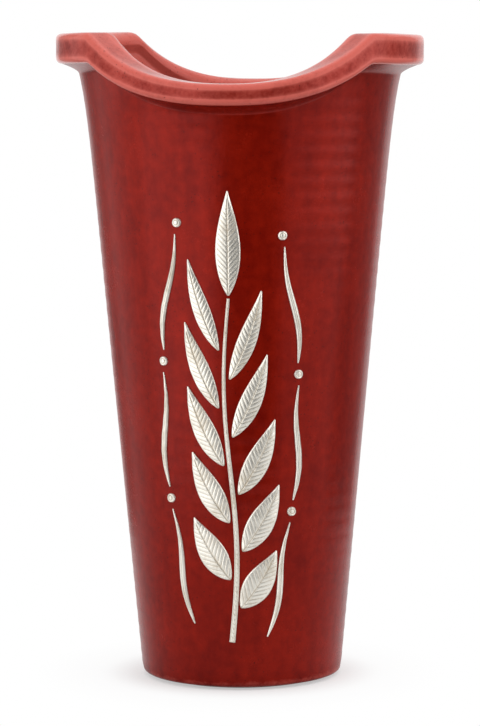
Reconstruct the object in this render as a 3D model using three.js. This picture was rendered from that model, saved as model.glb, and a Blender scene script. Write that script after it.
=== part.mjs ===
// A tapering stoneware vase with an everted, saddle-shaped lip and raised silver decoration.
// Sizes are in millimetres and +Z is up. The origin is the centre of the foot's underside.
// The lip's two horns point along X, and the silver lies on the front, towards -Y.
import * as THREE from "three";

// Overall form
const HEIGHT = 260; // table to the tops of the horns, before they droop and lean
const FOOT_RADIUS = 40.1; // outside of the wall at its lower edge
const NECK_RADIUS = 62.6; // where the wall's straight line reaches the neck below a horn
const WALL = 6.5; // thickness of the wall

// Lip
const LIP_RADIUS = 73.5; // axis to the lip's outer edge, which is round in plan
const HORN_FACE = 11.9; // height of the lip's edge at the horns
const DIP_FACE = 8.2; // height of the lip's edge at front and back
const DIP_DEPTH = 19.5; // how far the lip sinks at front and back
const DIP_SPAN = 49.5; // plan angle, in degrees, from the middle of a dip to the top of a horn
const DIP_POWER = 2.4; // how flat the middle of a dip is
const DIP_EASE = 0.06; // softness of the corner where the dip meets the top of a horn
const HORN_DROOP = 0.85; // how far a horn's top falls from that corner to its tip
const LIP_LEAN = 0.9; // how much lower the right horn stands than the left one
const LIP_COVE = 4; // height of the sloping underside of the lip
const COVE_POWER = 0.6; // how steeply that slope leaves the neck
const NECK_FLARE = 1.8; // how far the wall flares out as it reaches the lip
const FLARE_LENGTH = 13.5; // height over which the flare dies away
const LIP_ROUND = 2.2; // rounding of the lip's outer edges
const UNDER_TURN = -60; // degrees from level at which the lower rounding leaves the underside
const MOUTH_ROUND = 5.5; // rounding of the mouth into the inside wall

// Luted joints
const SEAM = 0.3; // thickness of each slip joint, and of the bed under the silver
const LIP_SKIRT = 3; // wall that the lip carries below its underside
const TONGUE_HEIGHT = 4; // step of the wall's inner half up into the lip

// Floor and foot
const FOOT_LIFT = 1.2; // lower edge of the wall above the table
const EDGE_ROUND = 1.6; // rounding of the wall's lower edge
const LEDGE_WIDTH = 5; // shelf inside the wall that the floor sits on
const LEDGE_THICKNESS = 3.6;
const FLOOR_THICKNESS = 7;
const FLOOR_COVE = 4; // fillet between floor and wall
const FLOOR_LAND = 1; // flat rim of the floor outside its fillet
const RING_RADIUS = 34.5; // outside of the foot ring
const RING_WIDTH = 5;
const RING_SEAT = 1.5; // depth of the groove that the foot ring sits in

// Silver
const SILVER = 0.7; // thickness at the edge of a silver piece
const SILVER_CROWN = 0.5; // extra thickness along its middle
const SPRAY_ABOVE_TABLE = 20; // lowest point of the stem
const SPRAY_BELOW_LIP = 33; // clear wall between the top leaf and the lip
const DRAWING_HEIGHT = 180; // the drawing's own height, before it is fitted to the clear wall
const STEM_WIDTH = 2.4;
const STEM_LENGTH = 138;
const STEM_SWAY = 2.2; // how far the stem swings to each side
const LEAF_PAIRS = 5;
const LEAF_START = 14; // foot of the lowest leaf
const LEAF_STEP = STEM_LENGTH / (LEAF_PAIRS + 1); // height between the leaves on one side
const LEAF_LENGTH_LOW = 25;
const LEAF_LENGTH_HIGH = 38;
const LEAF_ANGLE_LOW = 42; // degrees from upright, for a leaf at the stem's foot
const LEAF_ANGLE_HIGH = 24; // and at its top
const LEAF_BEND = 16; // degrees that a leaf turns along its length
const TOP_LEAF_WIDTH = 10;
const RESERVE = 1.1; // bare glaze between neighbouring pieces of silver
const TIP = 0.25; // half width of a leaf's blunt ends
const SWELL = 0.8; // below 1, a leaf is widest nearer to its foot
const BLADES = 3; // on each side
const BLADE_START = 2; // foot of the lowest blade
const BLADE_STAGGER = 5; // how much higher the left blades start
const BLADE_LENGTH = 46;
const BLADE_GAP = 9; // room for the bud between one blade and the next
const BLADE_WIDTH = 2.6;
const BLADE_SWAY = 1.2; // how far a blade swings about the outline
const OUTLINE_REACH = 28; // the outline's greatest distance from the stem's foot
const OUTLINE_LOW_SHARE = 0.16; // share of a half wave at which the outline starts
const OUTLINE_HIGH_SHARE = 0.78; // and at which it ends
const BUD_RADIUS = 1.9;

const STATIONS = 80; // steps round the wall and the lip
const STEM_ROWS = 28; // steps along each kind of silver piece
const LEAF_ROWS = 11;
const BLADE_ROWS = 14;
const BUD_ROWS = 8;
const TURN = 2 * Math.PI;
const FRONT = -Math.PI / 2;

const clay = { color: 0x8a2420, roughness: 0.28, metalness: 0 };
const bareClay = { color: 0x9a7358, roughness: 0.9, metalness: 0 };
const silver = { color: 0xd6d1c4, roughness: 0.34, metalness: 1 };

const radians = THREE.MathUtils.degToRad;
const mix = THREE.MathUtils.lerp;

// The share of the dip's depth at a plan angle: 1 in the middle of a dip, 0 on a horn.
function dipShare(angle) {
  const fromDip = Math.asin(Math.abs(Math.cos(angle)));
  const drop = 1 - (fromDip / radians(DIP_SPAN)) ** DIP_POWER;
  return (drop + Math.hypot(drop, DIP_EASE)) / (1 + Math.hypot(1, DIP_EASE));
}

// How far the lip stands below the highest level at a plan angle, without the dips.
function sag(angle) {
  const corner = Math.sin(radians(DIP_SPAN));
  const out = Math.max(0, Math.abs(Math.cos(angle)) - corner) / (1 - corner);
  return HORN_DROOP * out + (LIP_LEAN / 2) * (1 + Math.cos(angle));
}

// Heights of the lip and of the joint below it at a plan angle.
function lipAt(angle) {
  const share = dipShare(angle);
  const top = HEIGHT - sag(angle) - DIP_DEPTH * share;
  const face = mix(HORN_FACE, DIP_FACE, share);
  const under = top - face;
  const neck = under - LIP_COVE;
  return { top, face, under, neck, joint: neck - LIP_SKIRT };
}

const hornNeck = HEIGHT - HORN_FACE - LIP_COVE;
const frontNeck = lipAt(FRONT).neck;

// The wall's straight line, from the foot to the neck below a horn.
function taper(z) {
  return mix(FOOT_RADIUS, NECK_RADIUS, z / hornNeck);
}

// Outside of the wall at a height: the taper, and a flare that grows up to the neck above it.
function wallRadius(z, neck) {
  return taper(z) + NECK_FLARE * Math.exp((z - neck) / FLARE_LENGTH);
}

// The lip's underside, from the neck out to its edge, as points [radius, height].
function cove(from, to, steps = 4) {
  return Array.from({ length: steps + 1 }, (_, i) => {
    const out = (i / steps) ** 2;
    return [mix(from[0], to[0], out), mix(from[1], to[1], out ** COVE_POWER)];
  });
}

// Points of a quarter round from one tangent point to the other, about a centre [radius, height].
function quarter(centre, radius, height, from, to, steps = 3) {
  return Array.from({ length: steps + 1 }, (_, i) => {
    const a = radians(mix(from, to, i / steps));
    return [centre[0] + radius * Math.cos(a), centre[1] + height * Math.sin(a)];
  });
}

// Closed ring: a profile of [radius, height] points, anticlockwise when seen with the axis on
// the left, is worked out at each plan angle and joined to the next.
function ring(profileAt) {
  const loops = Array.from({ length: STATIONS }, (_, i) => {
    const angle = (TURN * i) / STATIONS;
    return profileAt(angle).map(([r, z]) => [r * Math.cos(angle), r * Math.sin(angle), z]);
  });
  return tube(loops, true);
}

// Joins loops of equal length into one closed body; open ends are capped from their first point.
function tube(loops, closed) {
  const count = loops[0].length;
  const index = [];
  const last = closed ? loops.length : loops.length - 1;
  for (let i = 0; i < last; i++) {
    const near = i * count;
    const far = ((i + 1) % loops.length) * count;
    for (let j = 0; j < count; j++) {
      const k = (j + 1) % count;
      index.push(near + j, far + j, far + k, near + j, far + k, near + k);
    }
  }
  if (!closed) {
    const end = last * count;
    for (let j = 1; j < count - 1; j++) {
      index.push(0, j, j + 1);
      index.push(end, end + j + 1, end + j);
    }
  }
  const geometry = new THREE.BufferGeometry();
  geometry.setAttribute("position", new THREE.Float32BufferAttribute(loops.flat(2), 3));
  geometry.setIndex(index);
  return geometry;
}

// Solid of revolution about Z from [radius, height] points, from the lower to the upper end.
function turned(profile) {
  const points = profile.map(([r, z]) => new THREE.Vector2(r, z));
  return new THREE.LatheGeometry(points, STATIONS).rotateX(Math.PI / 2);
}

function bodyWall() {
  const seatTop = FOOT_LIFT + LEDGE_THICKNESS;
  const grooveOut = RING_RADIUS + SEAM;
  const grooveIn = RING_RADIUS - RING_WIDTH - SEAM;
  return ring((angle) => {
    const { neck, joint } = lipAt(angle);
    const outside = (z) => wallRadius(z, neck);
    const ledgeEdge = outside(seatTop) - WALL - LEDGE_WIDTH;
    const tongueTop = joint + TONGUE_HEIGHT;
    const middle = WALL / 2 + SEAM / 2;
    const flareFoot = joint - 2 * FLARE_LENGTH;
    const flareMiddle = joint - 0.7 * FLARE_LENGTH;
    return [
      [ledgeEdge, FOOT_LIFT],
      [grooveIn, FOOT_LIFT],
      [grooveIn, FOOT_LIFT + RING_SEAT],
      [grooveOut, FOOT_LIFT + RING_SEAT],
      [grooveOut, FOOT_LIFT],
      ...quarter([outside(0) - EDGE_ROUND, FOOT_LIFT + EDGE_ROUND], EDGE_ROUND, EDGE_ROUND, -90, 0),
      [outside(flareFoot), flareFoot],
      [outside(flareMiddle), flareMiddle],
      [outside(joint), joint],
      [outside(joint) - middle, joint],
      [outside(tongueTop) - middle, tongueTop],
      [outside(tongueTop) - WALL, tongueTop],
      [outside(flareMiddle) - WALL, flareMiddle],
      [outside(flareFoot) - WALL, flareFoot],
      [outside(seatTop) - WALL, seatTop],
      [ledgeEdge, seatTop],
    ];
  });
}

function saddleLip() {
  return ring((angle) => {
    const { top, face, under, neck, joint } = lipAt(angle);
    const outside = (z) => wallRadius(z, neck);
    const skirt = joint + SEAM;
    const rebate = joint + TONGUE_HEIGHT + SEAM;
    const middle = WALL / 2 - SEAM / 2;
    const round = Math.min(LIP_ROUND, face / 2);
    const rim = LIP_RADIUS - round;
    const bore = outside(neck) - WALL;
    return [
      [outside(skirt) - middle, skirt],
      [outside(skirt), skirt],
      ...cove([outside(neck), neck], [rim, under]),
      ...quarter([rim, under + round], round, round, UNDER_TURN, 0),
      ...quarter([rim, top - round], round, round, 0, 90),
      ...quarter([bore + MOUTH_ROUND, top - MOUTH_ROUND], MOUTH_ROUND, MOUTH_ROUND, 90, 180),
      [outside(rebate) - WALL, rebate],
      [outside(rebate) - middle, rebate],
    ];
  });
}

function floorDisc() {
  const under = FOOT_LIFT + LEDGE_THICKNESS + SEAM;
  const top = under + FLOOR_THICKNESS;
  const rim = top + FLOOR_COVE;
  const inside = (z) => taper(z) - WALL - SEAM;
  return turned([
    [0, under],
    [inside(under), under],
    [inside(rim), rim],
    ...quarter([inside(top) - FLOOR_LAND - FLOOR_COVE, rim], FLOOR_COVE, FLOOR_COVE, 0, -90),
    [0, top],
  ]);
}

function footRing() {
  const inner = RING_RADIUS - RING_WIDTH;
  const top = FOOT_LIFT + RING_SEAT - SEAM;
  const bevel = RING_WIDTH / 10;
  return turned([
    [inner + bevel, 0],
    [RING_RADIUS - bevel, 0],
    [RING_RADIUS, bevel],
    [RING_RADIUS, top],
    [inner, top],
    [inner, bevel],
    [inner + bevel, 0],
  ]);
}

// The decoration is drawn flat: across is to the right of the stem's foot and up is above it.
// The drawing is scaled to the clear wall between the table and the lip, then laid on the wall.
const sprayScale = (lipAt(FRONT).under - SPRAY_BELOW_LIP - SPRAY_ABOVE_TABLE) / DRAWING_HEIGHT;

function onWall(across, up, lift) {
  const z = SPRAY_ABOVE_TABLE + up * sprayScale;
  const r = wallRadius(z, frontNeck);
  const angle = FRONT + (across * sprayScale) / r;
  return [(r + lift) * Math.cos(angle), (r + lift) * Math.sin(angle), z];
}

// A silver plate along a drawn line: a flat back on the wall's curve and a crowned face.
// line(s) gives the middle of the plate and half(s) its half width, for s from 0 to 1.
function plate(line, half, rows) {
  const loops = Array.from({ length: rows + 1 }, (_, i) => {
    const s = i / rows;
    const [across, up] = line(s);
    const [nextAcross, nextUp] = line(s + 1e-4);
    const side = new THREE.Vector2(nextUp - up, across - nextAcross).normalize();
    const at = (share, lift) =>
      onWall(across + side.x * half(s) * share, up + side.y * half(s) * share, SEAM + lift);
    const crown = SILVER_CROWN * Math.min(1, half(s) / (STEM_WIDTH / 2));
    return [
      at(1, 0),
      at(1, SILVER),
      at(0.5, SILVER + 0.75 * crown),
      at(0, SILVER + crown),
      at(-0.5, SILVER + 0.75 * crown),
      at(-1, SILVER),
      at(-1, 0),
      at(0, 0),
    ];
  });
  return tube(loops, false);
}

function stemLine(s) {
  return [STEM_SWAY * Math.sin(TURN * s), STEM_LENGTH * s];
}

function stem() {
  return plate(stemLine, (s) => (STEM_WIDTH / 2) * mix(1, 0.5, s), STEM_ROWS);
}

// Half width of a leaf or blade: a sine that swells towards its foot, blunt at both ends.
function sprigHalf(width) {
  return (s) => TIP + (width / 2 - TIP) * Math.sin(Math.PI * Math.min(1, s) ** SWELL);
}

// Pair k of leaves, from the lowest up; the left leaf starts half a step above the right one.
// A leaf leaves its foot at its lean from upright and turns back evenly by the bend.
function leaf(k, side) {
  const foot = LEAF_START + LEAF_STEP * (k + (side < 0 ? 0.5 : 0));
  const rise = foot / STEM_LENGTH;
  const lean = mix(LEAF_ANGLE_LOW, LEAF_ANGLE_HIGH, rise);
  const length = mix(LEAF_LENGTH_LOW, LEAF_LENGTH_HIGH, Math.sin((Math.PI / 2) * rise));
  const width = LEAF_STEP * Math.sin(radians(lean)) - 3 * RESERVE;
  const [stemAcross] = stemLine(rise);
  const start = STEM_WIDTH / 2 + RESERVE;
  const line = (s) => {
    const turn = radians(lean - (LEAF_BEND * s) / 2);
    return [
      stemAcross + side * (start + length * s * Math.sin(turn)),
      foot + length * s * Math.cos(turn),
    ];
  };
  return plate(line, sprigHalf(width), LEAF_ROWS);
}

function topLeaf() {
  const foot = STEM_LENGTH + RESERVE;
  return plate((s) => [0, mix(foot, DRAWING_HEIGHT, s)], sprigHalf(TOP_LEAF_WIDTH), LEAF_ROWS);
}

// The blades follow one bowed outline on each side, with a bud in the gap above each blade.
function outlineAt(up) {
  const share = mix(OUTLINE_LOW_SHARE, OUTLINE_HIGH_SHARE, up / DRAWING_HEIGHT);
  return OUTLINE_REACH * Math.sin(Math.PI * share);
}

function bladeFoot(k, side) {
  return BLADE_START + (side < 0 ? BLADE_STAGGER : 0) + k * (BLADE_LENGTH + BLADE_GAP);
}

function blade(k, side) {
  const line = (s) => {
    const up = bladeFoot(k, side) + BLADE_LENGTH * s;
    return [side * (outlineAt(up) + BLADE_SWAY * Math.sin(TURN * s)), up];
  };
  return plate(line, sprigHalf(BLADE_WIDTH), BLADE_ROWS);
}

function bud(k, side) {
  const centre = bladeFoot(k, side) + BLADE_LENGTH + BLADE_GAP / 2;
  const line = (s) => [side * outlineAt(centre), centre + BUD_RADIUS * (2 * s - 1)];
  const half = (s) => Math.max(TIP, BUD_RADIUS * Math.sqrt(Math.max(0, 1 - (2 * s - 1) ** 2)));
  return plate(line, half, BUD_ROWS);
}

const vase = new THREE.Group();

function add(name, geometry, finish) {
  const mesh = new THREE.Mesh(geometry, new THREE.MeshStandardMaterial(finish));
  mesh.name = name;
  vase.add(mesh);
}

add("body_wall", bodyWall(), clay);
add("saddle_lip", saddleLip(), clay);
add("floor_disc", floorDisc(), clay);
add("foot_ring", footRing(), bareClay);
add("silver_stem", stem(), silver);
add("silver_leaf_top", topLeaf(), silver);
for (const [label, side] of [["left", -1], ["right", 1]]) {
  for (let k = 0; k < LEAF_PAIRS; k++) {
    add(`silver_leaf_${label}_${k + 1}`, leaf(k, side), silver);
  }
  for (let k = 0; k < BLADES; k++) {
    add(`silver_blade_${label}_${k + 1}`, blade(k, side), silver);
    add(`silver_bud_${label}_${k + 1}`, bud(k, side), silver);
  }
}

export default vase;
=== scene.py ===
"""A tapering stoneware vase with a saddle-shaped lip, dressed round its CAD model.

The glaze is one continuous surface, the foot ring is bare clay, and the raised silver spray on the
front is engraved sheet that lies on the wall's own curve. Everything is in metres, +Z up.
"""

import math

import bpy
import numpy as np
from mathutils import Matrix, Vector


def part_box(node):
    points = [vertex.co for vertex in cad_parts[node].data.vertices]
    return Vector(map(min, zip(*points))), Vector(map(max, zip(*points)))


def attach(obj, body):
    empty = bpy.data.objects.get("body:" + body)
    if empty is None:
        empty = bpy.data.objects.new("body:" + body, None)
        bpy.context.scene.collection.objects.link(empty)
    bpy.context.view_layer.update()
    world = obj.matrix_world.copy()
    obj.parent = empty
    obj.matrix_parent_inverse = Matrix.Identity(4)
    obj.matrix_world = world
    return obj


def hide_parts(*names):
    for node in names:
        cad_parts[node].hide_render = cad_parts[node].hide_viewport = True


bl_info = {
    "name": "Saddle-lipped vase",
    "version": (1, 0, 0),
    "blender": (4, 5, 0),
    "location": "View3D > Sidebar > Vase",
    "description": "Builds a red-glazed stoneware vase with a raised silver spray",
    "category": "Add Mesh",
}

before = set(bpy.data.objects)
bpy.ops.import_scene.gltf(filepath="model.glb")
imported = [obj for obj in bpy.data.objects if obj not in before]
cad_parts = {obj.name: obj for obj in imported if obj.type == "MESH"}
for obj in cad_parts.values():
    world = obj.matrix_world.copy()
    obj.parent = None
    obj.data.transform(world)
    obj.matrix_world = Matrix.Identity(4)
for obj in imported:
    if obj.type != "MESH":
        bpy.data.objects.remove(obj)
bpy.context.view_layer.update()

BODY = "root"
LIP_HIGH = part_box("saddle_lip")[1]
RING_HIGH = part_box("foot_ring")[1]
WALL_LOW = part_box("body_wall")[0]
FLOOR_LOW, FLOOR_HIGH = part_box("floor_disc")
FRONT = -math.pi / 2
TURN = 2 * math.pi

# Degrees from level at which the lip's lower rounding leaves the underside
UNDER_TURN = -75

# Steps of the pot's surface along its section, and round the foot ring's section
UNDERSIDE_STEPS = 8
ARC_STEPS = 8
OUTSIDE_STEPS = 136
COVE_STEPS = 12
FACE_STEPS = 9
TOP_STEPS = 8
MOUTH_STEPS = 12
INSIDE_STEPS = 78
FLOOR_STEPS = 10
RING_STEPS = 48

# Rows along each kind of silver sheet and columns across its face, and columns across any back
STEM_GRID = (520, 29)
TOP_LEAF_GRID = (220, 73)
LEAF_GRID = (200, 73)
BLADE_GRID = (180, 25)
BUD_GRID = (45, 45)
BACK_COLUMNS = 7

# Rings and steps of the table's disc, and steps along the curtain and flags
TABLE_GRID = (12, 96)
CURTAIN_COLUMNS = 25


def length(name, description, default):
    """A size in metres, shown in the scene's own unit."""
    return bpy.props.FloatProperty(
        name=name, description=description, default=default, unit="LENGTH", precision=5
    )


def share(name, description, default):
    """A plain number that has no unit."""
    return bpy.props.FloatProperty(name=name, description=description, default=default)


def turn(name, description, degrees):
    """An angle, written here in degrees."""
    return bpy.props.FloatProperty(
        name=name, description=description, default=math.radians(degrees), subtype="ANGLE"
    )


def count(name, description, default):
    """A whole number of steps or copies."""
    return bpy.props.IntProperty(name=name, description=description, default=default, min=1)


def spot(name, description, default):
    """A place in metres."""
    return bpy.props.FloatVectorProperty(
        name=name, description=description, default=default, size=3, subtype="TRANSLATION"
    )


def colour(name, description, default):
    """A colour in the scene's linear values."""
    return bpy.props.FloatVectorProperty(
        name=name, description=description, default=default, size=3, subtype="COLOR", min=0, max=1
    )


class VasePot(bpy.types.PropertyGroup):
    """Sizes of the thrown pot and its finger marks, and how thin its glaze lies, with painted light just
    inside the mouth.
    """

    height: length("Height", "Table to the horns' tops, before they droop and lean", 0.260)
    lip_radius: length("Lip radius", "Axis to the lip's outer edge", LIP_HIGH.x)
    foot_radius: length("Foot radius", "Outside of the wall where its line meets the table", 0.0401)
    neck_radius: length("Neck radius", "Where the wall's line reaches the neck below a horn", 0.0626)
    flare: length("Flare", "How far the wall flares out as it reaches the lip", 0.0018)
    flare_length: length("Flare length", "Height over which the flare dies away", 0.0135)
    wall: length("Wall", "Thickness of the wall", 0.0065)
    horn_face: length("Horn face", "Height of the lip's edge at the horns", 0.0119)
    dip_face: length("Dip face", "Height of the lip's edge at front and back", 0.0082)
    dip_depth: length("Dip depth", "How far the lip sinks at front and back", 0.0195)
    dip_span: turn("Dip span", "Plan angle from the middle of a dip to the top of a horn", 49.5)
    dip_power: share("Dip power", "How flat the middle of a dip is", 2.4)
    dip_ease: share("Dip ease", "Softness of the corner where a dip meets a horn", 0.06)
    horn_droop: length("Horn droop", "Fall of a horn's top from that corner to its tip", 0.00085)
    lip_lean: length("Lip lean", "How much lower the right horn stands than the left one", 0.0009)
    cove: length("Cove", "Height of the sloping underside of the lip", 0.004)
    cove_power: share("Cove power", "How steeply that slope leaves the neck", 0.6)
    lip_round: length("Lip rounding", "Rounding of the lip's outer edges", 0.0022)
    mouth_round: length("Mouth rounding", "Rounding of the mouth into the inside wall", 0.0055)
    foot_round: length("Foot rounding", "Rounding of the wall's lower edge", 0.0016)
    floor_cove: length("Floor fillet", "Fillet between the floor and the inside wall", 0.004)
    ring_width: length("Ring width", "Width of the bare ring that the vase stands on", 0.005)
    ring_power: count("Ring squareness", "Power of the ring's rounded square section", 8)
    ring_overlap: length("Ring overlap", "How far in from the ring's sides the glaze enters it", 0.0004)
    ring_sink: length("Ring sink", "How deep the glaze lies below the ring's hidden top", 0.0005)
    gutter: length("Gutter", "Narrow gap outside the ring, before the wall's edge", 0.0006)
    gutter_rise: length("Gutter rise", "Height of that gap above the wall's edge", 0.0004)
    recess_slope: length("Recess slope", "Width of the slope from the recess to the ring", 0.003)
    ring_thin: share("Ring thinning", "How thin the glaze lies over the ring", 0.2)
    gutter_thin: share("Gutter thinning", "How thin it lies in the gutter", 0.4)
    foot_thin: share("Foot thinning", "How thin it lies on the wall's lower edge", 0.35)
    cove_thin: share("Cove thinning", "How thin it lies under the lip", 0.15)
    face_thin: share("Face thinning", "How thin it lies halfway up the lip's edge", 0.41)
    top_thin: share("Top thinning", "How thin it lies in the middle of the lip's top", 0.69)
    # Partly painted light: this pinker thin glaze inside the mouth also lightens the inner wall, which
    # lies in shade, and its fade down the inside mimics light falling off into the mouth
    inside_thin_and_painted_light: share("Inside thinning", "How thin it lies just inside the mouth", 1.13)
    inside_fade: length("Inside fade", "How far down the inside that thinning fades", 0.040)
    throwing_step: length("Throwing step", "Rise between the potter's finger marks", 0.0062)
    throwing_depth: length("Throwing depth", "Depth of the finger marks", 0.00007)
    wander: length("Wander", "How far the wall strays from a true circle", 0.00018)
    around: count("Steps round", "Steps of the surface round the axis", 320)


class VaseSilver(bpy.types.PropertyGroup):
    """Sizes of the silver spray, drawn flat and then laid on the wall."""

    drawing_height: length("Drawing height", "Height of the flat drawing", 0.180)
    above_table: length("Above table", "Lowest point of the stem", 0.020)
    below_lip: length("Below lip", "Clear wall between the top leaf and the lip", 0.033)
    sheet: length("Sheet", "How far the edge of the silver stands out of the glaze", 0.00045)
    tip_sheet: share("Tip sheet", "Share of that height which is left at a narrow tip", 0.45)
    crown: length("Crown", "How much higher the middle of a piece is than its edge", 0.00065)
    sunk: length("Sunk", "How deep the sheet's back lies in the glaze", 0.00025)
    edge_sunk: length("Edge sunk", "How deep the rolled edge dips into the glaze", 0.0001)
    edge_roll: share("Edge roll", "Share of the half width over which the edge rolls down", 0.10)
    stem_width: length("Stem width", "Width of the stem at its foot", 0.0024)
    stem_taper: share("Stem taper", "Share of its width that the stem loses by its tip", 0.5)
    stem_length: length("Stem length", "Length of the stem in the drawing", 0.138)
    stem_sway: length("Stem sway", "How far the stem swings to each side", 0.0022)
    leaf_pairs: count("Leaf pairs", "Leaves on each side of the stem", 5)
    leaf_start: length("Leaf start", "Height of the lowest leaf's foot in the drawing", 0.014)
    leaf_step: length("Leaf step", "Height between one leaf and the next on its side", 0.023)
    leaf_low: length("Lowest leaf", "Length of a leaf at the stem's foot", 0.025)
    leaf_high: length("Highest leaf", "Length of a leaf at the stem's top", 0.038)
    lean_low: turn("Low lean", "How far a leaf at the stem's foot leans from upright", 42)
    lean_high: turn("High lean", "How far a leaf at the stem's top leans from upright", 24)
    leaf_bend: turn("Leaf bend", "How far a leaf turns back along its length", 16)
    leaf_belly: share("Leaf belly", "Below 1, a leaf or blade is widest nearer to its foot", 0.8)
    leaf_tip: length("Leaf tip", "Half width at the ends of a leaf or blade", 0.00025)
    top_leaf_width: length("Top leaf width", "Width of the leaf on the stem's tip", 0.010)
    reserve: length("Reserve", "Bare glaze between neighbouring pieces", 0.0011)
    blades: count("Blades", "Slender blades on each side", 3)
    blade_start: length("Blade start", "Foot of the lowest blade in the drawing", 0.002)
    blade_stagger: length("Blade stagger", "How much higher the left blades start", 0.005)
    blade_length: length("Blade length", "Length of a slender blade", 0.046)
    blade_gap: length("Blade gap", "Room for the bud between two blades", 0.009)
    blade_width: length("Blade width", "Width of a slender blade", 0.0026)
    blade_sway: length("Blade sway", "How far a blade swings about the outline", 0.0012)
    outline_reach: length("Outline reach", "The outline's greatest distance from the stem's foot", 0.028)
    outline_low: share("Outline low", "Share of a half wave at which the outline starts", 0.16)
    outline_high: share("Outline high", "Share of a half wave at which the outline ends", 0.78)
    bud_radius: length("Bud radius", "Radius of a bud", 0.0019)
    bud_tip: length("Bud tip", "Half width at the ends of a bud", 0.00012)
    groove: length("Groove", "Width of an engraved line", 0.00016)
    groove_depth: length("Groove depth", "Depth of an engraved line", 0.00022)
    midrib: share("Midrib", "Width of a leaf's midrib, in grooves", 1.5)
    vein_step: length("Vein step", "Space between a leaf's side veins", 0.0021)
    vein_slant: share("Vein slant", "How far forward a side vein runs on its way out", 0.95)
    vein_cosine: share("Vein cosine", "Space square to the side veins, as a share of their step", 0.72)
    vein_depth: share("Vein depth", "Depth of a side vein, as a share of the midrib's", 0.8)
    vein_from: length("Vein from", "Half width of a leaf at which its side veins begin", 0.0012)
    vein_full: length("Vein full", "Half width that they then need to reach their depth", 0.0008)
    cord_line: share("Cord line", "Width of the stem's two long lines, in grooves", 0.8)
    cord_edge: share("Cord edge", "Place of these lines, as a share of the half width", 0.55)
    cord_step: share("Cord step", "Space between the stem's cuts, as a share of the vein step", 0.9)
    cord_slant: share("Cord slant", "How far forward a cut runs on its way out, in such spaces", 0.35)


class VaseColours(bpy.types.PropertyGroup):
    """Colours of the glaze, clay, silver and stage."""

    deep_red: colour("Deep red", "Glaze where it lies thick", (0.179, 0.0042, 0.0012))
    warm_red: colour("Warm red", "Glaze over most of the wall", (0.303, 0.0099, 0.0026))
    # This pale colour is real thin glaze on the lip's edges; just inside the mouth it is also painted
    # light on the shaded inner wall
    thin_red_and_painted_light: colour("Thin red", "Glaze where it breaks thin over an edge", (0.664, 0.136, 0.106))
    iron: colour("Iron", "Dark specks in the glaze", (0.035, 0.006, 0.005))
    clay: colour("Clay", "Bare fired stoneware", (0.42, 0.30, 0.21))
    clay_toast: colour("Toasted clay", "Clay that the kiln has flashed darker", (0.24, 0.13, 0.08))
    silver: colour("Silver", "Clean silver", (0.80, 0.77, 0.70))
    tarnish: colour("Tarnish", "Silver that has dulled", (0.52, 0.45, 0.35))
    floor: colour("Floor", "Pale studio table", (0.95, 0.95, 0.95))
    floor_bounce: colour("Floor bounce", "The table as its light reaches the vase", (0.31, 0.31, 0.31))
    curtain: colour("Curtain", "Dark side of the room, behind the camera", (0.02, 0.02, 0.02))
    flag: colour("Flag", "Grey flags behind the vase, to each side", (0.41, 0.41, 0.41))


class VaseMarks(bpy.types.PropertyGroup):
    """Scales of the marks in the glaze, clay and silver, in features to a metre, and their stretch."""

    clouds: share("Clouds", "Broad patches of the glaze", 34)
    streaks: share("Streaks", "Streaks that run down the glaze", 150)
    streak_stretch: share("Streak stretch", "Their scale upwards, as a share of that across", 0.09)
    mottle: share("Mottle", "Mottling of the glaze", 240)
    grain: share("Grain", "Fine grain of the glaze", 900)
    specks: share("Specks", "Iron specks in the glaze", 620)
    speck_patches: share("Speck patches", "Patches in which the specks gather", 90)
    peel: share("Peel", "Faint dimples of the glaze, like a peel's", 520)
    pits: share("Pits", "Pinholes in the glaze", 330)
    toast: share("Toast", "Toasted patches of the clay", 70)
    grit: share("Grit", "Grit of the clay", 1800)
    clay_specks: share("Clay specks", "Dark specks in the clay", 700)
    dulling: share("Dulling", "Dull patches of the silver", 110)
    rubbing: share("Rubbing", "Fine rubbed lines in the silver", 1500)
    rubbing_stretch: share("Rubbing stretch", "Their scale upwards, as a share of that across", 0.16)


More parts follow.
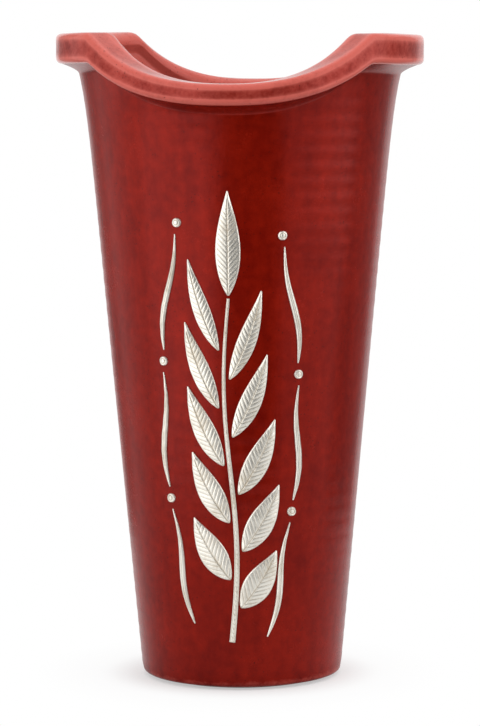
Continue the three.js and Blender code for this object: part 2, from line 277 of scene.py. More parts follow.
class VaseStage(bpy.types.PropertyGroup):
    """Camera, lights, table and cloths. The camera stands level with the lip, a little to the right."""

    distance: length("Distance", "Vase's axis to the camera, along the floor", 1.294)
    camera_height: length("Camera height", "Camera above the table", 0.2606)
    camera_turn: turn("Camera turn", "Camera's angle to the right of straight ahead", 5)
    camera_shift: length("Camera shift", "How far the camera stands right of its line", 0.00012)
    camera_pitch: turn("Camera pitch", "How far the camera looks down", 5.920)
    camera_roll: turn("Camera roll", "How far the camera leans", 0.187)
    lens: share("Lens", "Focal length in millimetres on a 36 mm sensor", 159.5)
    level: share("Level", "Brightness of the plain light from all round", 0.80)
    key: share("Key", "Power of the soft box on the left, in watts", 13.9)
    key_place: spot("Key place", "Middle of the soft box on the left", (-1.31, -1.20, 0.29))
    key_side: length("Key side", "Side of the soft box on the left", 2.0)
    fill: share("Fill", "Power of the soft box on the right, in watts", 5.2)
    fill_place: spot("Fill place", "Middle of the soft box on the right", (0.945, -0.242, 0.525))
    fill_side: length("Fill side", "Side of the soft box on the right", 1.12)
    top: share("Top", "Power of the soft box above, in watts", 6.7)
    top_place: spot("Top place", "Middle of the soft box above", (0.0, 0.44, 1.9))
    top_side: length("Top side", "Side of the soft box above", 1.6)
    aim_height: length("Aim height", "Height on the axis that every soft box faces", 0.14)
    table_radius: length("Table radius", "Radius of the pale round table", 0.3)
    table_cap: share("Table cap", "Share of that radius which the middle face takes up", 0.02)
    shadow_core: length("Shadow core", "Distance from the axis with the vase's full shadow", 0.042)
    shadow_edge: length("Shadow edge", "Distance at which little of the shadow is left", 0.056)
    shadow_end: length("Shadow end", "Distance at which the table is pure white", 0.085)
    room_radius: length("Room radius", "Distance of the curtain and the flags", 2.9)
    room_low: length("Room low", "Height of their lower edge", -2.5)
    room_high: length("Room high", "Height of their upper edge", 1.6)
    curtain_turn: turn("Curtain turn", "Middle of the curtain, to the right of straight ahead", 14.7)
    curtain_span: turn("Curtain span", "How far the curtain reaches to each side of its middle", 25)
    left_turn: turn("Left flag turn", "Middle of the flag on the left, from straight ahead", 138)
    left_span: turn("Left flag span", "How far it reaches to each side of its middle", 13)
    right_turn: turn("Right flag turn", "Middle of the flag on the right, from straight ahead", 123.5)
    right_span: turn("Right flag span", "How far it reaches to each side of its middle", 25.4)


# Meshes


def add_piece(name, points, faces):
    """Object whose mesh has these points and faces, in the scene."""
    mesh = bpy.data.meshes.new(name)
    mesh.from_pydata(points.reshape(-1, 3).tolist(), [], faces)
    mesh.update()
    piece = bpy.data.objects.new(name, mesh)
    bpy.context.scene.collection.objects.link(piece)
    return piece


def add_surface(name, grid, poles=None, attributes=()):
    """Mesh over a grid of points [row, step round]. Each row is a loop.

    The first and last rows close on the two poles where these are given, and otherwise on a flat
    cap. Attributes are (name, one value per point of the grid).
    """
    rows, around = grid.shape[:2]
    here = np.arange(rows * around).reshape(rows, around)
    there = np.roll(here, -1, axis=1)
    faces = np.stack([here[:-1], there[:-1], there[1:], here[1:]], -1).reshape(-1, 4).tolist()
    points = grid.reshape(-1, 3)
    for end, loop in enumerate((here[0][::-1], here[-1])):
        if poles is None:
            faces.append(loop.tolist())
        else:
            tip = np.full(around, rows * around + end)
            faces += np.stack([loop, np.roll(loop, -1), tip], -1).tolist()
    if poles is not None:
        points = np.concatenate([points, poles])
    piece = add_piece(name, points, faces)
    for label, values in attributes:
        data = np.zeros(len(points), np.float32)
        data[: values.size] = values.reshape(-1)
        piece.data.attributes.new(label, "FLOAT", "POINT").data.foreach_set("value", data)
    piece.data.shade_smooth()
    return piece


def add_ring(name, grid):
    """Mesh over a grid of points that closes on itself both ways."""
    rows, around = grid.shape[:2]
    here = np.arange(rows * around).reshape(rows, around)
    right = np.roll(here, -1, axis=1)
    corners = [here, np.roll(here, -1, axis=0), np.roll(right, -1, axis=0), right]
    piece = add_piece(name, grid, np.stack(corners, -1).reshape(-1, 4).tolist())
    piece.data.shade_smooth()
    return piece


def add_sheet(name, grid, closed):
    """Open mesh over a grid of points. Where closed, each row is a loop and the first is capped."""
    rows, around = grid.shape[:2]
    here = np.arange(rows * around).reshape(rows, around)
    cap = [here[0][::-1].tolist()] if closed else []
    if closed:
        here = np.concatenate([here, here[:, :1]], 1)
    corners = [here[:-1, :-1], here[:-1, 1:], here[1:, 1:], here[1:, :-1]]
    return add_piece(name, grid, np.stack(corners, -1).reshape(-1, 4).tolist() + cap)


def place(piece, material, slot, *nodes):
    """Gives a finished piece its material and its body, and hides the CAD nodes that it stands for."""
    piece.data.materials.append(material)
    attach(piece, BODY)
    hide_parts(*nodes)


# Shape of the pot


def lip_heights(pot, angle):
    """Heights of the lip at plan angles: its top, the foot of its edge, and the neck below it.

    The sink is 1 - u**power, where u is the plan angle from the middle of a dip over the dip's
    span, and a short hyperbola softens the corner where it reaches zero. From there a horn's top
    droops evenly to its tip, and the whole lip leans to the right.
    """
    across = np.abs(np.cos(angle))
    from_dip = np.arcsin(across)
    drop = 1 - (from_dip / pot.dip_span) ** pot.dip_power
    sink = (drop + np.hypot(drop, pot.dip_ease)) / (1 + math.hypot(1, pot.dip_ease))
    corner = math.sin(pot.dip_span)
    sag = pot.horn_droop * np.maximum(0, across - corner) / (1 - corner)
    sag += pot.lip_lean * (1 + np.cos(angle)) / 2
    top = pot.height - sag - pot.dip_depth * sink
    under = top - pot.horn_face - (pot.dip_face - pot.horn_face) * sink
    return top, under, under - pot.cove


def taper(pot, z):
    """The wall's straight line, from the foot to the neck at the horns."""
    neck = pot.height - pot.horn_face - pot.cove
    return pot.foot_radius + (pot.neck_radius - pot.foot_radius) * z / neck


def wall_radius(pot, z, neck):
    """Outside of the true wall: the taper, and a flare that grows as exp up to the neck."""
    return taper(pot, z) + pot.flare * np.exp((z - neck) / pot.flare_length)


def wander(pot, angle, z):
    """How far the thrown surface strays: slow waves round the axis plus finger marks that climb it."""
    slow = np.sin(2 * angle + 9 * z + 0.4) + 0.7 * np.sin(3 * angle - 21 * z + 1)
    climb = TURN * z / pot.throwing_step + angle + 1.4 * np.sin(31 * z) + 0.5 * np.sin(2 * angle)
    marks = np.sin(climb) * (0.6 + 0.4 * np.sin(47 * z + 2 * angle))
    return 0.5 * pot.wander * slow + pot.throwing_depth * marks


def arc(centre_r, centre_z, radius, start, end, steps):
    """Rows of a circular arc, from the start angle to the end angle in degrees."""
    a = np.radians(np.linspace(start, end, steps))[:, None]
    return np.stack([centre_r + radius * np.cos(a), centre_z + radius * np.sin(a)], -1)


def run(start, end, steps):
    """Rows of a straight line between two points, without its ends."""
    s = np.linspace(0, 1, steps + 2)[1:-1, None]
    return np.stack([start[0] + (end[0] - start[0]) * s, start[1] + (end[1] - start[1]) * s], -1)


def breaking(middle, steps):
    """Share of thin glaze on rows between two edges: 1 at both, falling as u**4 to the middle."""
    u = np.linspace(-1, 1, steps + 2)[1:-1, None]
    return middle + (1 - middle) * u**4


def wall_rows(pot, low, high, neck, inset, steps):
    """Rows up the wall between two heights.

    They climb as u * (4 - u) / 3, so they lie twice as close at the neck, where the wall flares.
    """
    u = np.linspace(0, 1, steps + 2)[1:-1, None]
    z = low + (high - low) * u * (4 - u) / 3
    return np.stack([wall_radius(pot, z, neck) - inset, z], -1)


def cove_rows(start, end, power, steps):
    """Rows of the lip's underside: it rises as the power of the way out from the neck."""
    s = np.linspace(0, 1, steps)[:, None] ** 2
    rise = start[1] + (end[1] - start[1]) * s**power
    return np.stack([start[0] + (end[0] - start[0]) * s, rise], -1)


def underside_rows(pot, flat):
    """Under the floor: a flat recess, a slope to the ring, over its hidden top, and the gutter."""
    recess = 0.5 * (WALL_LOW.z + FLOOR_LOW.z)
    ring_in = RING_HIGH.x - pot.ring_width
    slope = ring_in - pot.recess_slope
    sunk = RING_HIGH.z - pot.ring_sink

    def row(radius, height):
        return np.stack([flat + radius, flat + height], -1)[None]

    return [
        (run((flat, flat + recess), (flat + slope, flat + recess), UNDERSIDE_STEPS), 0),
        (row(slope, recess), 0),
        (row(ring_in + pot.ring_overlap, sunk), pot.ring_thin),
        (row(RING_HIGH.x - pot.ring_overlap, sunk), pot.ring_thin),
        (row(RING_HIGH.x + pot.gutter, WALL_LOW.z + pot.gutter_rise), pot.gutter_thin),
    ]


def outside_rows(pot, flat, neck):
    """The wall's rounded lower edge and its outside, up to the neck."""
    foot_z = WALL_LOW.z + pot.foot_round
    foot_r = flat + pot.foot_radius - pot.foot_round
    return [
        (arc(foot_r, flat + foot_z, pot.foot_round, -90, 0, ARC_STEPS), pot.foot_thin),
        (wall_rows(pot, foot_z, neck, neck, 0, OUTSIDE_STEPS), 0),
    ]


def lip_rows(pot, flat, top, under, neck):
    """The lip: its coved underside, its edge, its flat top and the mouth's rounding.

    The edge's lower arc starts past its lowest point, which ends the cove.
    """
    outside = wall_radius(pot, neck, neck)
    soft = pot.lip_round
    edge = flat + pot.lip_radius
    turn_in = outside - pot.wall + pot.mouth_round
    face = run((edge, under + soft), (edge, top - soft), FACE_STEPS)
    level = run((edge - soft, top), (turn_in, top), TOP_STEPS)
    return [
        (cove_rows((outside, neck), (edge - soft, under), pot.cove_power, COVE_STEPS), pot.cove_thin),
        (arc(edge - soft, under + soft, soft, UNDER_TURN, 0, ARC_STEPS), 1),
        (face, breaking(pot.face_thin, FACE_STEPS)),
        (arc(edge - soft, top - soft, soft, 0, 90, ARC_STEPS), 1),
        (level, breaking(pot.top_thin, TOP_STEPS)),
        (arc(turn_in, top - pot.mouth_round, pot.mouth_round, 90, 180, MOUTH_STEPS), 1),
    ]


def inside_rows(pot, flat, mouth, neck):
    """The inside wall, down from the mouth, the fillet and the floor.

    The thin glaze fades as exp on the way down. Near the mouth it is partly painted light, which
    lightens the shaded inner wall.
    """
    fillet_z = FLOOR_HIGH.z
    fillet_r = wall_radius(pot, fillet_z, neck) - pot.wall - pot.floor_cove
    floor_z = flat + fillet_z - pot.floor_cove
    wall = wall_rows(pot, fillet_z, mouth, neck, pot.wall, INSIDE_STEPS)[::-1]
    return [
        # Painted light: the thin-glaze share inside the mouth lightens the shaded inner wall, fading
        # with depth
        (wall, pot.inside_thin_and_painted_light * np.exp((wall[..., 1] - mouth) / pot.inside_fade)),
        (arc(fillet_r, flat + fillet_z, pot.floor_cove, 0, -90, ARC_STEPS), 0),
        (run((fillet_r, floor_z), (flat, floor_z), FLOOR_STEPS), 0),
    ]


def pot_profile(pot, angle):
    """Rows of (radius, height) round the section, from under the floor, over the lip, to inside it.

    Returns the rows with the share of thin glaze on each: 1 on the lip's edges, 0 on the wall, and a
    share just inside the mouth that is partly painted light.
    """
    flat = np.zeros_like(angle)
    top, under, neck = lip_heights(pot, angle)
    parts = [
        *underside_rows(pot, flat),
        *outside_rows(pot, flat, neck),
        *lip_rows(pot, flat, top, under, neck),
        *inside_rows(pot, flat, top - pot.mouth_round, neck),
    ]
    rows = np.concatenate([part for part, _ in parts])
    thin = np.concatenate([amount + 0 * part[..., 1] for part, amount in parts])
    return rows, thin


# Shape of the silver


def spray_scale(pot, silver):
    """Scale that fits the drawing between the table and the lip at the front."""
    _, under, _ = lip_heights(pot, np.array([FRONT]))
    return (float(under[0]) - silver.below_lip - silver.above_table) / silver.drawing_height


def on_wall(pot, silver, across, up, lift):
    """Lays the flat drawing on the wall: across goes round it, up goes up it and lift stands out."""
    scale = spray_scale(pot, silver)
    z = silver.above_table + up * scale
    _, _, neck = lip_heights(pot, np.array([FRONT]))
    r = wall_radius(pot, z, neck[0])
    angle = FRONT + across * scale / r
    r = r + wander(pot, angle, z) + lift
    return np.stack([r * np.cos(angle), r * np.sin(angle), z], -1)


def plate(pot, silver, name, line, half, relief, grid):
    """Engraved silver sheet along a drawn line.

    line(s) gives (across, up) of its middle and half(s) its half width, for s from 0 to 1. The face
    is the wall lifted by the sheet, plus a crown that falls to the edge as 1 - t**2, less the
    engraved lines of relief(s, t, half). The edge rolls down into the glaze as a quarter circle.
    """
    rows, columns = grid
    s = 0.5 - 0.5 * np.cos(np.linspace(0, math.pi, rows))[:, None]
    t = np.sin(np.linspace(-math.pi / 2, math.pi / 2, columns))
    width = half(s)
    across, up = line(s)
    step = 1e-4
    ahead, behind = line(s + step), line(s - step)
    run_x, run_y = ahead[0] - behind[0], ahead[1] - behind[1]
    norm = np.hypot(run_x, run_y)
    side_x, side_y = width * run_y / norm, -width * run_x / norm
    roll = np.clip((1 - np.abs(t)) / silver.edge_roll, 0, 1)
    edge = np.sqrt(1 - (1 - roll) ** 2)
    narrow = np.clip(width / (silver.stem_width / 2), 0, 1)
    cut = np.clip(relief(s, t, width), 0, 1)
    high = silver.sheet * (silver.tip_sheet + (1 - silver.tip_sheet) * narrow)
    high = high + narrow * (silver.crown * (1 - t * t) - silver.groove_depth * cut)
    lift = high * edge - silver.edge_sunk * (1 - edge)

    def laid(t, lift):
        return on_wall(pot, silver, across + side_x * t, up + side_y * t, lift)

    back = laid(np.linspace(1, -1, BACK_COLUMNS), -silver.sunk)
    grooves = np.concatenate([cut, np.zeros((rows, BACK_COLUMNS))], 1)
    points = np.concatenate([laid(t, lift), back], 1)
    return add_surface(name, points, attributes=[("engraved", grooves)])


def line_cut(distance, width):
    """Engraved line: 1 in its middle, falling off as a bell over its width."""
    return np.exp(-((distance / width) ** 2))


def to_nearest(along, step):
    """Distance to the nearest of lines that lie a step apart."""
    phase = along / step
    return (phase - np.round(phase)) * step


def fades(value, gone, pace):
    """1, falling evenly to 0 as the value nears gone, by the pace for each unit."""
    return np.clip((gone - value) * pace, 0, 1)


def stem_line(silver):
    """The stem's gentle swing: one sine over its length."""

    def line(s):
        return silver.stem_sway * np.sin(TURN * s), silver.stem_length * s

    return line


def stem_half(silver):
    """Half width of the stem, which tapers evenly."""

    def half(s):
        return silver.stem_width / 2 * (1 - silver.stem_taper * s)

    return half


def stem_relief(silver):
    """Short slanting cuts between two long lines, like a twisted cord."""
    step = silver.vein_step * silver.cord_step

    def relief(s, t, width):
        long_lines = line_cut((np.abs(t) - silver.cord_edge) * width, silver.groove * silver.cord_line)
        off = to_nearest(s * silver.stem_length + t * silver.cord_slant * step, step)
        twist = line_cut(off, silver.groove) * fades(np.abs(t), gone=0.5, pace=12)
        return np.maximum(long_lines, silver.vein_depth * twist)

    return relief


def sprig_half(silver, width):
    """Half width of a leaf or blade: sin(pi s**belly), widest below its middle, blunt at both ends."""
    tip = silver.leaf_tip

    def half(s):
        return tip + (width / 2 - tip) * np.sin(math.pi * np.clip(s, 0, 1) ** silver.leaf_belly)

    return half


def leaf_relief(silver, size):
    """Midrib and side veins that run forward from it, fading before the tip and the margin."""

    def relief(s, t, width):
        across = t * width
        midrib = line_cut(across, silver.groove * silver.midrib) * fades(s, gone=0.94, pace=14)
        off = to_nearest(s * size - np.abs(across) * silver.vein_slant, silver.vein_step)
        margin = fades(np.abs(t), gone=0.86, pace=9)
        wide = np.clip((width - silver.vein_from) / silver.vein_full, 0, 1)
        veins = line_cut(off * silver.vein_cosine, silver.groove) * fades(s, gone=0.9, pace=12)
        return np.maximum(midrib, silver.vein_depth * veins * margin * wide)

    return relief


def blade_relief(silver):
    """One fine line down the middle of a blade."""

    def relief(s, t, width):
        ends = fades(s, gone=0.92, pace=14) * fades(1 - s, gone=0.94, pace=14)
        return line_cut(t * width, silver.groove) * ends

    return relief


def bud_relief(silver):
    """A ring round a bud's crown."""

    def relief(s, t, width):
        up = (2 * s - 1) * silver.bud_radius
        return line_cut(np.hypot(up, t * width) - 0.5 * silver.bud_radius, silver.groove)

    return relief


def leaf_shape(silver, k, side):
    """Leaf k of a side, from the lowest up: its middle line, length and width.

    It leaves its foot at its lean from upright and turns back evenly by the bend.
    """
    foot = silver.leaf_start + silver.leaf_step * (k + (0.5 if side < 0 else 0))
    rise = foot / silver.stem_length
    lean = silver.lean_low + (silver.lean_high - silver.lean_low) * rise
    size = silver.leaf_low + (silver.leaf_high - silver.leaf_low) * math.sin(math.pi / 2 * rise)
    width = silver.leaf_step * math.sin(lean) - 3 * silver.reserve
    across = float(stem_line(silver)(rise)[0]) + side * (silver.stem_width / 2 + silver.reserve)

    def line(s):
        turned = lean - silver.leaf_bend * s / 2
        return across + side * size * s * np.sin(turned), foot + size * s * np.cos(turned)

    return line, size, width


def top_leaf_shape(silver):
    """The leaf above the stem's tip, up to the top of the drawing: its middle line and length."""
    foot = silver.stem_length + silver.reserve
    size = silver.drawing_height - foot

    def line(s):
        return 0 * s, foot + size * s

    return line, size


def outline_at(silver, up):
    """The outline's distance from the stem at a height: part of one half wave of a sine."""
    low, high = silver.outline_low, silver.outline_high
    return silver.outline_reach * np.sin(math.pi * (low + (high - low) * up / silver.drawing_height))


def blade_shape(silver, k, side):
    """Blade k of a side: its middle line, one sway about the outline, and the bud's centre above it."""
    stagger = silver.blade_stagger if side < 0 else 0
    foot = silver.blade_start + stagger + k * (silver.blade_length + silver.blade_gap)
    above = foot + silver.blade_length + silver.blade_gap / 2

    def line(s):
        up = foot + silver.blade_length * s
        return side * (outline_at(silver, up) + silver.blade_sway * np.sin(TURN * s)), up

    return line, (side * float(outline_at(silver, above)), above)


def bud_shape(silver, centre):
    """A round bud: its middle line is a diameter, and its half width is a circle's."""
    radius = silver.bud_radius

    def line(s):
        return centre[0] + 0 * s, centre[1] + radius * (2 * s - 1)

    def half(s):
        return np.maximum(silver.bud_tip, radius * np.sqrt(np.clip(1 - (2 * s - 1) ** 2, 0, 1)))

    return line, half


def add_silver(context, kind, ending, line, half, relief, grid):
    """Adds an engraved sheet in place of the CAD node of the same kind and ending."""
    pot, silver = context.scene.vase_pot, context.scene.vase_silver
    piece = plate(pot, silver, f"{kind}_sheet{ending}", line, half, relief, grid)
    place(piece, shared_silver(context), "silver", f"silver_{kind}{ending}")


def both_sides(copies):
    """Number, side and ending of each copy, from the lowest up, the left side first."""
    for label, side in (("left", -1), ("right", 1)):
        for k in range(copies):
            yield k, side, f"_{label}_{k + 1}"


# Materials


class Value:
    """A socket that gives a number, with arithmetic that adds Math nodes."""

    def __init__(self, shader, socket):
        self.shader = shader
        self.socket = socket

    def __add__(self, other):
        return self.shader.math("ADD", self, other)

    def __sub__(self, other):
        return self.shader.math("SUBTRACT", self, other)

    def __rsub__(self, other):
        return self.shader.math("SUBTRACT", other, self)

    def __mul__(self, other):
        return self.shader.math("MULTIPLY", self, other)

    __radd__ = __add__
    __rmul__ = __mul__


class Shader:
    """The nodes of one material, or of a world that is given."""

    def __init__(self, name, world=None):
        self.owner = world or bpy.data.materials.new(name)
        self.owner.use_nodes = True
        self.tree = self.owner.node_tree
        self.tree.nodes.clear()

    def node(self, kind, out=0, settings=None, **sockets):
        """Adds a node: its settings first, then its sockets, by name or by s0, s1 for a place."""
        node = self.tree.nodes.new(kind)
        for key, value in (settings or {}).items():
            if key == "stops":
                self.set_stops(node.color_ramp, value)
            else:
                setattr(node, key, value)
        for key, value in sockets.items():
            socket = node.inputs[int(key[1:]) if key[1:].isdigit() else key.replace("_", " ")]
            if isinstance(value, Value):
                self.tree.links.new(value.socket, socket)
            elif socket.type == "RGBA" and len(value) == 3:
                socket.default_value = (*value, 1)
            else:
                socket.default_value = value
        return Value(self, node.outputs[out])

    @staticmethod
    def set_stops(ramp, stops):
        """Sets a ramp's stops from (place, level) pairs."""
        while len(ramp.elements) < len(stops):
            ramp.elements.new(1)
        for element, (position, level) in zip(ramp.elements, stops):
            element.position = position
            element.color = (level, level, level, 1)

    def math(self, operation, a, b):
        """A number worked out from two others."""
        return self.node("ShaderNodeMath", settings={"operation": operation}, s0=a, s1=b)

    def mix(self, factor, a, b):
        """A colour between a and b."""
        settings = {"data_type": "RGBA", "clamp_factor": True}
        return self.node("ShaderNodeMix", out=2, settings=settings, s0=factor, s6=a, s7=b)

    def ramp(self, value, *stops):
        """A number that follows the stops, evenly from one to the next."""
        return self.node("ShaderNodeValToRGB", settings={"stops": stops}, Fac=value)

    def position(self, centre=(0, 0, 0), scale=(1, 1, 1)):
        """Object coordinates, in metres, moved and stretched."""
        where = self.node("ShaderNodeTexCoord", out="Object")
        return self.node("ShaderNodeMapping", Vector=where, Location=centre, Scale=scale)

    def noise(self, where, scale, detail=3.0, roughness=0.5):
        """Noise with so many features in a metre."""
        return self.node(
            "ShaderNodeTexNoise", Vector=where, Scale=scale, Detail=detail, Roughness=roughness
        )

    def cells(self, where, scale):
        """Distance to the nearest of scattered points, so many in a metre."""
        return self.node("ShaderNodeTexVoronoi", Vector=where, Scale=scale)

    def attribute(self, name):
        """A number that the mesh holds at its points."""
        return self.node("ShaderNodeAttribute", out="Fac", settings={"attribute_name": name})

    def bump(self, height, distance, strength):
        """Normal of a surface raised by the height times the distance, in metres."""
        return self.node("ShaderNodeBump", Height=height, Distance=distance, Strength=strength)

    def seen_directly(self):
        """1 for rays from the camera, and for those that gloss or glass sends on, else 0."""
        camera, gloss, glass = (
            self.node("ShaderNodeLightPath", out=f"Is {kind} Ray")
            for kind in ("Camera", "Glossy", "Transmission")
        )
        return self.math("MAXIMUM", self.math("MAXIMUM", camera, gloss), glass)

    def end(self, surface, output="ShaderNodeOutputMaterial"):
        """Ends the tree in this surface."""
        last = self.tree.nodes.new(output)
        self.tree.links.new(surface.socket, last.inputs["Surface"])
        return self.owner

    def finish(self, **sockets):
        """Ends the tree in a Principled shader."""
        return self.end(self.node("ShaderNodeBsdfPrincipled", **sockets))


def glaze_material(colours, marks):
    """Glossy red glaze: mottled and streaked down the wall, breaking pinker where it thins, and pinker
    just inside the mouth as partly painted light.
    """
    s = Shader("red_glaze")
    where = s.position()
    clouds = s.noise(where, marks.clouds, detail=4.0, roughness=0.55)
    downwards = s.position(scale=(1, 1, marks.streak_stretch))
    streaks = s.noise(downwards, marks.streaks, roughness=0.6)
    grain = s.noise(where, marks.grain, detail=2.0, roughness=0.6)
    mottle = s.noise(where, marks.mottle, roughness=0.6)
    warm = s.ramp(clouds * 0.35 + streaks * 0.3 + mottle * 0.35, (0.38, 0.0), (0.62, 1.0))
    body = s.mix(warm, colours.deep_red, colours.warm_red)
    # The thin-glaze share is real breaking on the edges, and painted light just inside the mouth
    thin = s.attribute("thin_glaze")
    uneven = (clouds - 0.5) * 0.4 + (mottle - 0.5) * 0.5 + (grain - 0.5) * 0.3
    broken_and_painted_light = s.ramp(thin + uneven, (0.22, 0.0), (1.0, 1.0))
    body = s.mix(broken_and_painted_light, body, colours.thin_red_and_painted_light)
    iron = 1 - s.ramp(s.cells(where, marks.specks), (0.10, 0.0), (0.19, 1.0))
    patchy = s.ramp(s.noise(where, marks.speck_patches), (0.50, 0.0), (0.60, 1.0))
    body = s.mix(iron * patchy * 0.75, body, colours.iron)
    peel = s.noise(where, marks.peel, detail=2.0)
    elsewhere = s.position(centre=(0.3, 0.1, 0.2))
    pits = s.ramp(s.cells(elsewhere, marks.pits), (0.03, 0.0), (0.09, 1.0))
    relief = peel * 0.5 + streaks * 0.35 + pits * 0.25
    return s.finish(
        Base_Color=body,
        Metallic=0.17 - broken_and_painted_light * 0.17,
        Roughness=0.175 + clouds * 0.12 + grain * 0.04 - broken_and_painted_light * 0.107,
        Specular_IOR_Level=0.19,
        Specular_Tint=(1.0, 0.59, 0.59),
        Normal=s.bump(relief, 0.00016, 0.55),
    )


def clay_material(colours, marks):
    """Bare stoneware: toasted in patches, and gritty."""
    s = Shader("bare_stoneware")
    where = s.position()
    patches = s.ramp(s.noise(where, marks.toast, detail=4.0), (0.38, 0.0), (0.64, 1.0))
    grit = s.noise(where, marks.grit, detail=2.0, roughness=0.7)
    specks = 1 - s.ramp(s.cells(where, marks.clay_specks), (0.12, 0.0), (0.22, 1.0))
    body = s.mix(patches, colours.clay, colours.clay_toast)
    body = s.mix(specks * 0.6 + (grit - 0.5) * 0.3, body, colours.iron)
    return s.finish(
        Base_Color=body,
        Roughness=0.82 + grit * 0.12,
        Specular_IOR_Level=0.3,
        Normal=s.bump(grit + specks * 0.5, 0.0002, 0.6),
    )


def silver_material(colours, marks):
    """Soft silver: brushed by years of rubbing, dull in its engraved lines and in faint patches."""
    s = Shader("soft_silver")
    clouds = s.noise(s.position(), marks.dulling, detail=5.0, roughness=0.6)
    downwards = s.position(scale=(1, 1, marks.rubbing_stretch))
    rubbed = s.noise(downwards, marks.rubbing, detail=2.0)
    sunk = s.attribute("engraved")
    dull = s.ramp(clouds + (rubbed - 0.5) * 0.2, (0.50, 0.0), (0.74, 1.0)) * 0.55
    body = s.mix(dull + sunk * 0.8, colours.silver, colours.tarnish)
    return s.finish(
        Base_Color=body,
        Metallic=1.0,
        Roughness=0.38 + dull * 0.25 + rubbed * 0.08 + sunk * 0.15,
        Normal=s.bump(rubbed * 0.5 + clouds * 0.5, 0.00006, 0.5),
    )


def shared_silver(context):
    """The one silver material, made when the first piece asks for it."""
    found = bpy.data.materials.get("soft_silver")
    return found or silver_material(context.scene.vase_colours, context.scene.vase_marks)


def floor_material(colours, stage):
    """Pale floor that keeps the vase's shadow and clears to white a little way off."""
    s = Shader("studio_floor")
    settings = {"operation": "LENGTH"}
    far = s.node("ShaderNodeVectorMath", out="Value", settings=settings, s0=s.position())
    stops = (stage.shadow_core, 0.45), (stage.shadow_edge, 0.90), (stage.shadow_end, 1.0)
    clear = s.ramp(far, *stops) * s.seen_directly()
    camera = s.node("ShaderNodeLightPath", out="Is Camera Ray")
    matt = s.node("ShaderNodeBsdfDiffuse", Color=s.mix(camera, colours.floor_bounce, colours.floor))
    white = s.node("ShaderNodeEmission", Color=(1, 1, 1), Strength=1.0)
    return s.end(s.node("ShaderNodeMixShader", Fac=clear, s1=matt, s2=white))


def cloth_material(name, colour):
    """Plain matt cloth."""
    s = Shader(name)
    return s.end(s.node("ShaderNodeBsdfDiffuse", Color=colour))


# Operators


class VASE_OT_pot(bpy.types.Operator):
    """Adds the glazed pot as one continuous surface"""

    bl_idname = "vase.pot"
    bl_label = "Glazed Pot"

    def execute(self, context):
        pot = context.scene.vase_pot
        angle = np.linspace(0, TURN, pot.around, endpoint=False)
        rows, thin = pot_profile(pot, angle)
        radius, height = rows[..., 0], rows[..., 1]
        # Within the foot's radius the stray falls as radius**4, to nothing on the axis
        stray = np.clip(radius / pot.foot_radius, 0, 1) ** 4
        radius = radius + wander(pot, angle, height) * stray
        grid = np.stack([radius * np.cos(angle), radius * np.sin(angle), height], -1)
        poles = [(0, 0, height[0, 0]), (0, 0, height[-1, 0])]
        piece = add_surface("glazed_pot", grid, poles, [("thin_glaze", thin)])
        material = glaze_material(context.scene.vase_colours, context.scene.vase_marks)
        place(piece, material, "red_glaze", "body_wall", "saddle_lip", "floor_disc")
        return {"FINISHED"}


class VASE_OT_foot(bpy.types.Operator):
    """Adds the bare ring that the vase stands on"""

    bl_idname = "vase.foot"
    bl_label = "Foot Ring"

    def execute(self, context):
        pot = context.scene.vase_pot
        angle = np.linspace(0, TURN, pot.around, endpoint=False)[:, None]
        turned = np.linspace(0, TURN, RING_STEPS, endpoint=False)
        half_width, half_height = 0.5 * pot.ring_width, 0.5 * RING_HIGH.z
        power = pot.ring_power
        # The section is a circle pushed out to |cos|**power + |sin|**power = 1, a rounded square
        bulge = (np.abs(np.cos(turned)) ** power + np.abs(np.sin(turned)) ** power) ** (-1 / power)
        radius = RING_HIGH.x - half_width + half_width * bulge * np.cos(turned)
        height = half_height + half_height * bulge * np.sin(turned) + 0 * angle
        grid = np.stack([radius * np.cos(angle), radius * np.sin(angle), height], -1)
        piece = add_ring("bare_foot_ring", grid)
        material = clay_material(context.scene.vase_colours, context.scene.vase_marks)
        place(piece, material, "bare_stoneware", "foot_ring")
        return {"FINISHED"}


class VASE_OT_stem(bpy.types.Operator):
    """Adds the silver stem and the leaf at its top"""

    bl_idname = "vase.stem"
    bl_label = "Silver Stem"

    def execute(self, context):
        silver = context.scene.vase_silver
        line, half, relief = stem_line(silver), stem_half(silver), stem_relief(silver)
        add_silver(context, "stem", "", line, half, relief, STEM_GRID)
        line, size = top_leaf_shape(silver)
        half, relief = sprig_half(silver, silver.top_leaf_width), leaf_relief(silver, size)
        add_silver(context, "leaf", "_top", line, half, relief, TOP_LEAF_GRID)
        return {"FINISHED"}


class VASE_OT_leaves(bpy.types.Operator):
    """Adds the engraved silver leaves on both sides of the stem"""

    bl_idname = "vase.leaves"
    bl_label = "Silver Leaves"

    def execute(self, context):
        silver = context.scene.vase_silver
        for k, side, ending in both_sides(silver.leaf_pairs):
            line, size, width = leaf_shape(silver, k, side)
            half, relief = sprig_half(silver, width), leaf_relief(silver, size)
            add_silver(context, "leaf", ending, line, half, relief, LEAF_GRID)
        return {"FINISHED"}


class VASE_OT_blades(bpy.types.Operator):
    """Adds the slender silver blades and the bud above each"""

    bl_idname = "vase.blades"
    bl_label = "Silver Blades"

    def execute(self, context):
        silver = context.scene.vase_silver
        for k, side, ending in both_sides(silver.blades):
            line, above = blade_shape(silver, k, side)
            half, relief = sprig_half(silver, silver.blade_width), blade_relief(silver)
            add_silver(context, "blade", ending, line, half, relief, BLADE_GRID)
            line, half = bud_shape(silver, above)
            add_silver(context, "bud", ending, line, half, bud_relief(silver), BUD_GRID)
        return {"FINISHED"}


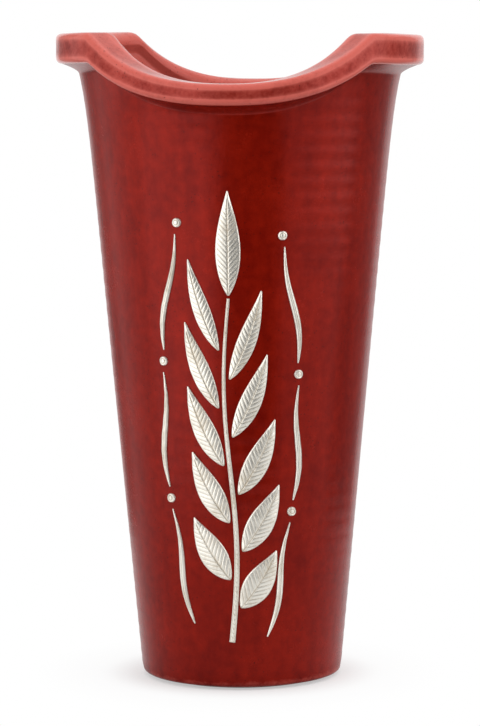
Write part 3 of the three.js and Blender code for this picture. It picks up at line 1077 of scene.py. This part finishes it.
class VASE_OT_stage(bpy.types.Operator):
    """Adds the floor, the curtain and flags, the soft boxes and the camera"""

    bl_idname = "vase.stage"
    bl_label = "Stage"

    def execute(self, context):
        stage, colours = context.scene.vase_stage, context.scene.vase_colours
        self.floor(stage, colours)
        self.curtain(stage, "dark_curtain", colours.curtain, stage.curtain_turn, stage.curtain_span)
        self.curtain(stage, "left_flag", colours.flag, -stage.left_turn, stage.left_span)
        self.curtain(stage, "right_flag", colours.flag, stage.right_turn, stage.right_span)
        self.world(context.scene, stage)
        self.soft_box(stage, "key_light", stage.key, stage.key_place, stage.key_side)
        self.soft_box(stage, "fill_light", stage.fill, stage.fill_place, stage.fill_side)
        self.soft_box(stage, "top_light", stage.top, stage.top_place, stage.top_side)
        self.camera(context.scene, stage)
        context.scene.view_settings.view_transform = "Standard"
        return {"FINISHED"}

    @staticmethod
    def floor(stage, colours):
        """A round table top: a flat disc of rings about the axis."""
        rings, steps = TABLE_GRID
        angle = np.linspace(0, TURN, steps, endpoint=False)
        radius = np.linspace(stage.table_cap, 1, rings)[:, None] * stage.table_radius
        grid = np.stack([radius * np.cos(angle), radius * np.sin(angle), 0 * radius * angle], -1)
        floor = add_sheet("table", grid, closed=True)
        floor.data.materials.append(floor_material(colours, stage))

    @staticmethod
    def curtain(stage, name, colour, middle, span):
        """Cloth that only gloss and soft light find: part of a cylinder about the vase."""
        angle = FRONT + middle + np.linspace(-1, 1, CURTAIN_COLUMNS) * span
        height = np.array([stage.room_low, stage.room_high])[:, None]
        x, y = stage.room_radius * np.cos(angle), stage.room_radius * np.sin(angle)
        grid = np.stack([x + 0 * height, y + 0 * height, height + 0 * angle], -1)
        curtain = add_sheet(name, grid, closed=False)
        curtain.data.materials.append(cloth_material(name, colour))
        curtain.visible_camera = False
        curtain.visible_shadow = False

    @staticmethod
    def world(scene, stage):
        """Plain light all round; white where the camera, gloss or glass looks past the vase."""
        scene.world = bpy.data.worlds.new("studio")
        s = Shader("studio", scene.world)
        strength = s.seen_directly() * (1 - stage.level) + stage.level
        background = s.node("ShaderNodeBackground", Color=(1, 1, 1), Strength=strength)
        s.end(background, "ShaderNodeOutputWorld")

    @staticmethod
    def soft_box(stage, name, power, where, side):
        """A square light that faces the middle of the vase."""
        light = bpy.data.lights.new(name, "AREA")
        light.shape = "SQUARE"
        light.size = side
        light.energy = power
        lamp = bpy.data.objects.new(name, light)
        aim = Vector((0, 0, stage.aim_height)) - Vector(where)
        lamp.location = where
        lamp.rotation_mode = "QUATERNION"
        lamp.rotation_quaternion = aim.to_track_quat("-Z", "Y")
        lamp.visible_camera = False
        bpy.context.scene.collection.objects.link(lamp)

    @staticmethod
    def camera(scene, stage):
        """The camera looks along its turn, pitched down, with a slight lean."""
        data = bpy.data.cameras.new("camera")
        data.lens = stage.lens
        camera = bpy.data.objects.new("camera", data)
        sine, cosine = math.sin(stage.camera_turn), math.cos(stage.camera_turn)
        x = stage.distance * sine + stage.camera_shift * cosine
        y = -stage.distance * cosine + stage.camera_shift * sine
        camera.location = (x, y, stage.camera_height)
        camera.rotation_euler = (
            math.pi / 2 - stage.camera_pitch,
            stage.camera_roll,
            stage.camera_turn,
        )
        scene.collection.objects.link(camera)
        scene.camera = camera


STEPS = (VASE_OT_pot, VASE_OT_foot, VASE_OT_stem, VASE_OT_leaves, VASE_OT_blades, VASE_OT_stage)
GROUPS = {
    "vase_pot": VasePot,
    "vase_silver": VaseSilver,
    "vase_colours": VaseColours,
    "vase_marks": VaseMarks,
    "vase_stage": VaseStage,
}


class VASE_PT_panel(bpy.types.Panel):
    """The vase's steps and sizes in the sidebar"""

    bl_idname = "VASE_PT_panel"
    bl_label = "Vase"
    bl_space_type = "VIEW_3D"
    bl_region_type = "UI"
    bl_category = "Vase"

    def draw(self, context):
        for step in STEPS:
            self.layout.operator(step.bl_idname)
        for name, group in GROUPS.items():
            box = self.layout.box()
            for key in group.__annotations__:
                box.prop(getattr(context.scene, name), key)


def register():
    for group in (*GROUPS.values(), *STEPS, VASE_PT_panel):
        bpy.utils.register_class(group)
    for name, group in GROUPS.items():
        setattr(bpy.types.Scene, name, bpy.props.PointerProperty(type=group))


def unregister():
    for name in GROUPS:
        delattr(bpy.types.Scene, name)
    for group in (VASE_PT_panel, *reversed(STEPS), *GROUPS.values()):
        bpy.utils.unregister_class(group)


def main():
    register()
    for step in STEPS:
        family, action = step.bl_idname.split(".")
        getattr(getattr(bpy.ops, family), action)()


if __name__ == "__main__":
    main()
